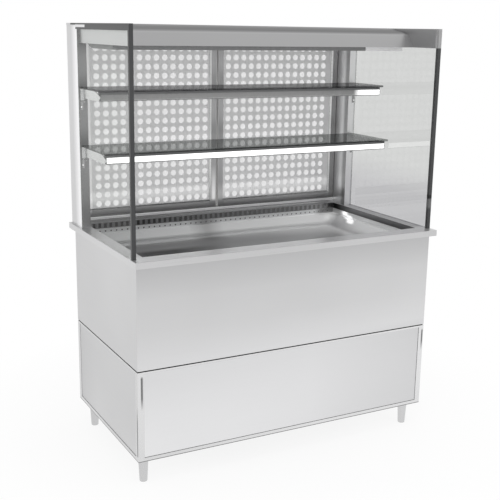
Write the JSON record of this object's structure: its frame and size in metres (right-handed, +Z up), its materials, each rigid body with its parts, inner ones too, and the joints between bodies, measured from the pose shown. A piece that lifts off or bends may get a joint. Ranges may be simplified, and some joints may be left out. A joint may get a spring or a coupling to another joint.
{
  "type": "refrigerated display case",
  "caption": "Stainless self-service chilled display case with an open well, glass shelves between glass sides, a canopy and perforated rear doors.",
  "frame": {"origin": "on the floor, under the middle of the overall width and of the overall depth with the door handles included", "axes": "+X to the right as seen from the customer's side, +Y to the rear (operator's side), +Z up"},
  "size_m": [1.38, 0.813, 1.74],
  "materials": {
    "body_steel": "satin brushed sheet",
    "frame_steel": "polished square tube",
    "rim_steel": "satin brushed worktop",
    "pan_steel": "bright polished pressing",
    "door_steel": "satin brushed frame",
    "perforated_steel": "satin perforated sheet",
    "column_steel": "satin brushed column",
    "canopy_steel": "satin brushed canopy",
    "polished_steel": "polished",
    "grille_steel": "satin slotted strip",
    "galvanised": "dull zinc",
    "side_glass": "clear float glass",
    "shelf_glass": "clear float glass, polished edges",
    "trim_dark": "satin dark anodised trim",
    "lamp_dark": "satin dark grey",
    "diffuser": "opal diffuser",
    "foam": "rigid insulating foam",
    "panel_white": "smooth white panel",
    "seal": "soft pale gasket",
    "black_plastic": "fine grained moulding",
    "grey_plastic": "smooth button cap",
    "green_plastic": "translucent rocker",
    "pale_plastic": "plain moulding",
    "fin_aluminium": "plain fins",
    "copper": "drawn copper",
    "compressor_black": "black enamel",
    "foot_steel": "polished foot"
  },
  "bodies": {
    "cabinet": {"base_frame": "frame_steel", "base_tray": "galvanised", "front_panel": "body_steel", "side_panels": "body_steel", "rear_grille_panel": "body_steel", "control_panel": "body_steel", "control_bezels": "black_plastic", "cable_gland": "black_plastic", "body_shell": "body_steel", "insulation": "foam", "well_liner": "rim_steel", "rim": "rim_steel", "air_grilles": "grille_steel", "display_pan": "pan_steel", "evaporator_coil": "fin_aluminium", "evaporator_fan_plate": "galvanised", "drain_pipe": "pale_plastic", "condensate_tray": "galvanised", "compressor": "compressor_black", "condenser": "fin_aluminium", "refrigerant_lines": "copper", "electrical_box": "pale_plastic", "column_left": "column_steel", "column_right": "column_steel", "glass_left": "side_glass", "glass_right": "side_glass", "glass_trims": "trim_dark", "canopy_hood": "canopy_steel", "canopy_cheeks": "canopy_steel", "canopy_cap": "canopy_steel", "canopy_lamp": "lamp_dark", "glass_shelves": "shelf_glass", "shelf_brackets": "polished_steel", "upper_light_bar": "lamp_dark", "lower_light_bar": "lamp_dark", "light_diffusers": "diffuser", "door_surround": "door_steel", "door_hinges": "polished_steel"},
    "foot_front_left": {"foot_front_left": "foot_steel"},
    "foot_front_right": {"foot_front_right": "foot_steel"},
    "foot_rear_left": {"foot_rear_left": "foot_steel"},
    "foot_rear_right": {"foot_rear_right": "foot_steel"},
    "button_set": {"button_set": "grey_plastic"},
    "button_up": {"button_up": "grey_plastic"},
    "button_down": {"button_down": "grey_plastic"},
    "power_switch": {"power_switch": "green_plastic"},
    "light_switch": {"light_switch": "black_plastic"},
    "evaporator_fan_left": {"evaporator_fan_left": "black_plastic"},
    "evaporator_fan_right": {"evaporator_fan_right": "black_plastic"},
    "condenser_fan": {"condenser_fan": "black_plastic"},
    "left_door": {"left_door_frame": "door_steel", "left_door_sheet": "perforated_steel", "left_door_panel": "panel_white", "left_door_gasket": "seal", "left_door_handle": "polished_steel"},
    "right_door": {"right_door_frame": "door_steel", "right_door_sheet": "perforated_steel", "right_door_panel": "panel_white", "right_door_gasket": "seal", "right_door_handle": "polished_steel"}
  },
  "joints": [
    {"name": "foot_front_left_level", "type": "slide", "parent": "cabinet", "child": "foot_front_left", "axis": [0, 0, -1], "range_m": [0, 0.02]},
    {"name": "foot_front_right_level", "type": "slide", "parent": "cabinet", "child": "foot_front_right", "axis": [0, 0, -1], "range_m": [0, 0.02]},
    {"name": "foot_rear_left_level", "type": "slide", "parent": "cabinet", "child": "foot_rear_left", "axis": [0, 0, -1], "range_m": [0, 0.02]},
    {"name": "foot_rear_right_level", "type": "slide", "parent": "cabinet", "child": "foot_rear_right", "axis": [0, 0, -1], "range_m": [0, 0.02]},
    {"name": "button_set_press", "type": "slide", "parent": "cabinet", "child": "button_set", "axis": [0, -1, 0], "range_m": [0, 0.0012], "stiffness_N_per_m": 400, "springref_m": -0.0006},
    {"name": "button_up_press", "type": "slide", "parent": "cabinet", "child": "button_up", "axis": [0, -1, 0], "range_m": [0, 0.0012], "stiffness_N_per_m": 400, "springref_m": -0.0006},
    {"name": "button_down_press", "type": "slide", "parent": "cabinet", "child": "button_down", "axis": [0, -1, 0], "range_m": [0, 0.0012], "stiffness_N_per_m": 400, "springref_m": -0.0006},
    {"name": "power_rocker", "type": "hinge", "parent": "cabinet", "child": "power_switch", "pos_m": [0.4802, 0.3405, 0.3862], "axis": [1, 0, 0], "range_deg": [0, 16]},
    {"name": "light_rocker", "type": "hinge", "parent": "cabinet", "child": "light_switch", "pos_m": [0.5202, 0.3405, 0.3862], "axis": [1, 0, 0], "range_deg": [0, 16]},
    {"name": "evaporator_fan_left_spin", "type": "hinge", "parent": "cabinet", "child": "evaporator_fan_left", "pos_m": [-0.2265, 0.0185, 0.6285], "axis": [0, 1, 0], "continuous": true},
    {"name": "evaporator_fan_right_spin", "type": "hinge", "parent": "cabinet", "child": "evaporator_fan_right", "pos_m": [0.2265, 0.0185, 0.6285], "axis": [0, 1, 0], "continuous": true},
    {"name": "condenser_fan_spin", "type": "hinge", "parent": "cabinet", "child": "condenser_fan", "pos_m": [-0.386, 0.1965, 0.2855], "axis": [0, 1, 0], "continuous": true},
    {"name": "left_door_hinge", "type": "hinge", "parent": "cabinet", "child": "left_door", "pos_m": [-0.64075, 0.374, 1.3], "axis": [0, 0, 1], "range_deg": [0, 110]},
    {"name": "right_door_hinge", "type": "hinge", "parent": "cabinet", "child": "right_door", "pos_m": [0.64075, 0.374, 1.3], "axis": [0, 0, -1], "range_deg": [0, 110]}
  ]
}
